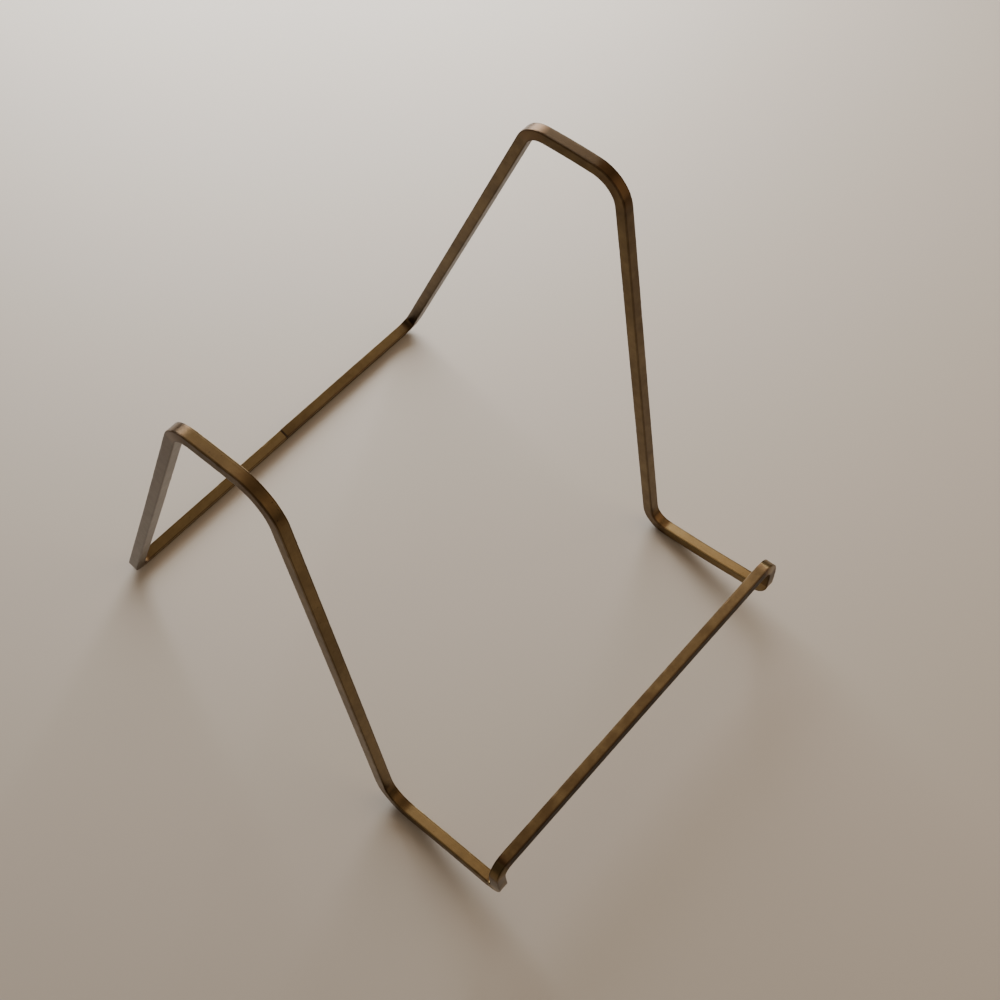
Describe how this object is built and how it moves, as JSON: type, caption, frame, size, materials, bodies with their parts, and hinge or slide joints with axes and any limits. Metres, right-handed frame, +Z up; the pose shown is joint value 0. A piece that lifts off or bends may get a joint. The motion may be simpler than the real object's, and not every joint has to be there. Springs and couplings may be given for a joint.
{
  "type": "photo album stand",
  "caption": "Display stand bent from square brass bar: raised front lip, short tilted rails, reclined back rest and rear struts to a bar on the table.",
  "frame": {"origin": "on the surface that the stand rests on, under the middle of its bounding box", "axes": "+Z up, -Y the front where the album faces, +X to the right of a person who faces the stand"},
  "size_m": [0.12, 0.1416, 0.127],
  "materials": {
    "brass_bar": "satin, drawn bar with a warm brown tarnish",
    "solder": "matt, dark solder film"
  },
  "bodies": {
    "root": {"front_lip_bar": "brass_bar", "left_lip_post": "brass_bar", "right_lip_post": "brass_bar", "left_rail": "brass_bar", "right_rail": "brass_bar", "left_back_rest": "brass_bar", "right_back_rest": "brass_bar", "left_top_rail": "brass_bar", "right_top_rail": "brass_bar", "left_rear_strut": "brass_bar", "right_rear_strut": "brass_bar", "left_rear_bar": "brass_bar", "right_rear_bar": "brass_bar", "seam_solder": "solder"}
  },
  "joints": []
}
